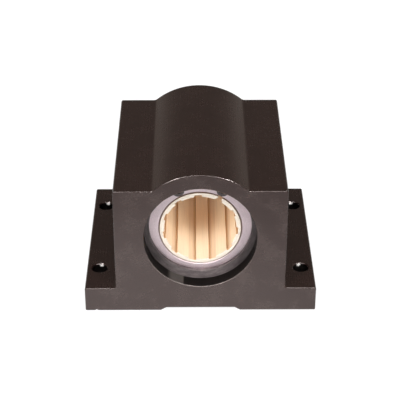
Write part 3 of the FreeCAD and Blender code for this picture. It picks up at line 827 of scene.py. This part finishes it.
class PILLOW_OT_liner(bpy.types.Operator):
    """Make the grooved liner with geometry nodes"""
    bl_idname = "pillow.liner"
    bl_label = "Liner"

    def execute(self, context):
        settings = context.scene.pillow_liner
        material = bearing_polymer(settings)
        values = {
            "Outer radius": LINER_RADIUS,
            "Land radius": LAND_RADIUS,
            "Length": LINER_LENGTH,
            "Groove count": settings.groove_count,
            "Groove angle": settings.groove_angle,
            "Groove depth": settings.groove_depth,
            "Groove round": settings.groove_round,
            "End round": settings.end_round,
            "Slit width": settings.slit_width,
            "Nub radius": settings.nub_radius,
            "Nub height": settings.nub_height,
            "Lean": settings.lean,
            "Axis height": AXIS_HEIGHT,
            "Material": material,
        }
        source = bpy.data.objects.new("liner_source", bpy.data.meshes.new("liner_source"))
        context.scene.collection.objects.link(source)
        modifier = source.modifiers.new("Grooved liner", "NODES")
        modifier.node_group = liner_tree()
        for socket in modifier.node_group.interface.items_tree:
            if socket.in_out == "INPUT":
                modifier[socket.identifier] = values[socket.name]
        liner = plain_mesh(source, "grooved_liner")
        finish_piece(liner, material, "liner_polymer", "bearing_liner")
        return {"FINISHED"}


class PILLOW_OT_rings(bpy.types.Operator):
    """Finish both retaining rings in phosphated steel"""
    bl_idname = "pillow.rings"
    bl_label = "Retaining rings"

    def execute(self, context):
        settings = context.scene.pillow_rings
        material = phosphated_steel(settings)
        for end in ("front", "rear"):
            ring = rounded_copy(end + "_retaining_ring", end + "_ring", settings.edge_round)
            finish_piece(ring, material, "ring_steel", end + "_retaining_ring")
        return {"FINISHED"}


def softbox(name, azimuth, elevation, distance, width, height, radiance):
    """A rectangular lamp that faces the block, with azimuth 0 in front of it."""
    lamp = bpy.data.lights.new(name, "AREA")
    lamp.shape = "RECTANGLE"
    lamp.size = width
    lamp.size_y = height
    lamp.energy = radiance * math.pi * width * height
    item = bpy.data.objects.new(name, lamp)
    bpy.context.scene.collection.objects.link(item)
    turn, rise = math.radians(azimuth), math.radians(elevation)
    back = Vector((math.sin(turn) * math.cos(rise), -math.cos(turn) * math.cos(rise),
                   math.sin(rise)))
    item.location = Vector((0.0, 0.0, AXIS_HEIGHT)) + back * distance
    item.rotation_euler = (-back).to_track_quat("-Z", "Y").to_euler()
    item.visible_camera = False
    return item


def seen_or_mirrored(tree):
    """1 for camera, glossy and transmission rays, and 0 for the light that lands on the block."""
    rays = add(tree, "ShaderNodeLightPath").outputs
    mask = add(tree, "ShaderNodeMath", {0: rays["Is Camera Ray"], 1: rays["Is Glossy Ray"]},
               operation="MAXIMUM")
    return add(tree, "ShaderNodeMath", {0: mask, 1: rays["Is Transmission Ray"]},
               operation="MAXIMUM")


def floor_material(settings):
    """Matt white sweep that shows as a white ground and keeps a soft shadow."""
    material, tree = new_material("White studio sweep")
    matt = add(tree, "ShaderNodeBsdfDiffuse", {"Color": (*settings.floor, 1.0)})
    # In a reflection the ground shows a painted pool of light: its glow fades away from the block,
    # as the lamps' light does outside their pool.
    coords = add(tree, "ShaderNodeTexCoord").outputs
    reach = add(tree, "ShaderNodeVectorMath", {0: coords["Object"], 1: settings.pool_centre},
                operation="DISTANCE").outputs["Value"]
    pool = add(tree, "ShaderNodeMapRange", {
        "Value": reach, "From Min": settings.pool_inner, "From Max": settings.pool_outer,
        "To Min": 1.08, "To Max": 0.35}, interpolation_type="SMOOTHSTEP")
    # Where it is seen, its glow grows away from the block, as the lamps light it less there.
    far = add(tree, "ShaderNodeMapRange", {
        "Value": reach, "From Min": 0.15, "From Max": 0.6, "To Min": 1.15, "To Max": 1.36},
        interpolation_type="SMOOTHSTEP")
    rays = add(tree, "ShaderNodeLightPath").outputs
    strength = add(tree, "ShaderNodeMix", {"Factor": rays["Is Glossy Ray"], 2: far, 3: pool},
                   data_type="FLOAT")
    glow = add(tree, "ShaderNodeEmission", {"Color": WHITE, "Strength": strength})
    share = add(tree, "ShaderNodeMath", {0: seen_or_mirrored(tree), 1: settings.floor_glow},
                operation="MULTIPLY")
    mixed = add(tree, "ShaderNodeMixShader", {0: share, 1: matt, 2: glow})
    # Seen from below, the floor lets the underside of the block show.
    side = add(tree, "ShaderNodeNewGeometry").outputs
    clear = add(tree, "ShaderNodeBsdfTransparent")
    ground = add(tree, "ShaderNodeMixShader", {0: side["Backfacing"], 1: mixed, 2: clear})
    add(tree, "ShaderNodeOutputMaterial", {"Surface": ground})
    return material


def room(settings):
    """The room: white round the horizon and a dim ceiling where it is seen or mirrored."""
    world = bpy.data.worlds.new("Studio room")
    bpy.context.scene.world = world
    world.use_nodes = True
    tree = world.node_tree
    tree.nodes.clear()
    coords = add(tree, "ShaderNodeTexCoord").outputs
    split = add(tree, "ShaderNodeSeparateXYZ", {0: coords["Generated"]}).outputs
    rays = add(tree, "ShaderNodeLightPath").outputs
    horizon = add(tree, "ShaderNodeMix", {
        "Factor": rays["Is Glossy Ray"], 2: 1.0, 3: settings.horizon_level}, data_type="FLOAT")
    seen = add(tree, "ShaderNodeMapRange", {
        "Value": split["Z"], "From Min": math.sin(settings.ceiling_start),
        "From Max": math.sin(settings.ceiling_full), "To Min": horizon,
        "To Max": settings.ceiling_level}, interpolation_type="SMOOTHSTEP")
    strength = add(tree, "ShaderNodeMix", {
        "Factor": seen_or_mirrored(tree), 2: settings.room_level, 3: seen}, data_type="FLOAT")
    # Warm walls show in what the block mirrors.
    walls = add(tree, "ShaderNodeMix", {
        "Factor": rays["Is Glossy Ray"], 6: WHITE, 7: (*settings.walls, 1.0)}, data_type="RGBA")
    sky = add(tree, "ShaderNodeBackground", {"Color": walls.outputs[2], "Strength": strength})
    add(tree, "ShaderNodeOutputWorld", {"Surface": sky})


class PILLOW_OT_studio(bpy.types.Operator):
    """Set up the floor, the lamps and the camera"""
    bl_idname = "pillow.studio"
    bl_label = "Studio"

    def execute(self, context):
        settings = context.scene.pillow_studio
        half, drop = settings.floor_size / 2, -settings.floor_drop
        mesh = bpy.data.meshes.new("floor")
        mesh.from_pydata([(-half, -half, drop), (half, -half, drop), (half, half, drop),
                          (-half, half, drop)], [], [(0, 1, 2, 3)])
        floor = bpy.data.objects.new("floor", mesh)
        context.scene.collection.objects.link(floor)
        mesh.materials.append(floor_material(settings))
        room(settings)
        for *shape, unseen_by in LAMPS:
            lamp = softbox(*shape)
            setattr(lamp, "visible_" + unseen_by, False)

        lens = bpy.data.cameras.new("camera")
        lens.sensor_width = 36.0
        lens.lens = settings.lens
        lens.clip_start = 0.01
        lens.clip_end = 20.0
        camera = bpy.data.objects.new("camera", lens)
        context.scene.collection.objects.link(camera)
        camera.location = settings.camera_place
        sight = settings.camera_target - settings.camera_place
        camera.rotation_euler = sight.to_track_quat("-Z", "Y").to_euler()
        context.scene.camera = camera
        context.scene.view_settings.view_transform = "Standard"
        return {"FINISHED"}


OPERATORS = (PILLOW_OT_block, PILLOW_OT_sleeve, PILLOW_OT_liner, PILLOW_OT_rings,
             PILLOW_OT_studio)


class PILLOW_PT_panel(bpy.types.Panel):
    """Sizes, colours and steps of the pillow block"""
    bl_idname = "PILLOW_PT_panel"
    bl_label = "Pillow Block"
    bl_space_type = "VIEW_3D"
    bl_region_type = "UI"
    bl_category = "Pillow Block"

    def draw(self, context):
        for (name, group), operator in zip(GROUPS.items(), OPERATORS):
            box = self.layout.box()
            for key in group.__annotations__:
                box.prop(getattr(context.scene, name), key)
            box.operator(operator.bl_idname)


def register():
    for group in GROUPS.values():
        bpy.utils.register_class(group)
    for name, group in GROUPS.items():
        setattr(bpy.types.Scene, name, bpy.props.PointerProperty(type=group))
    for operator in OPERATORS:
        bpy.utils.register_class(operator)
    bpy.utils.register_class(PILLOW_PT_panel)


def unregister():
    bpy.utils.unregister_class(PILLOW_PT_panel)
    for operator in reversed(OPERATORS):
        bpy.utils.unregister_class(operator)
    for name, group in GROUPS.items():
        delattr(bpy.types.Scene, name)
        bpy.utils.unregister_class(group)


def main():
    register()
    bpy.ops.pillow.block()
    bpy.ops.pillow.sleeve()
    bpy.ops.pillow.liner()
    bpy.ops.pillow.rings()
    bpy.ops.pillow.studio()


if __name__ == "__main__":
    main()
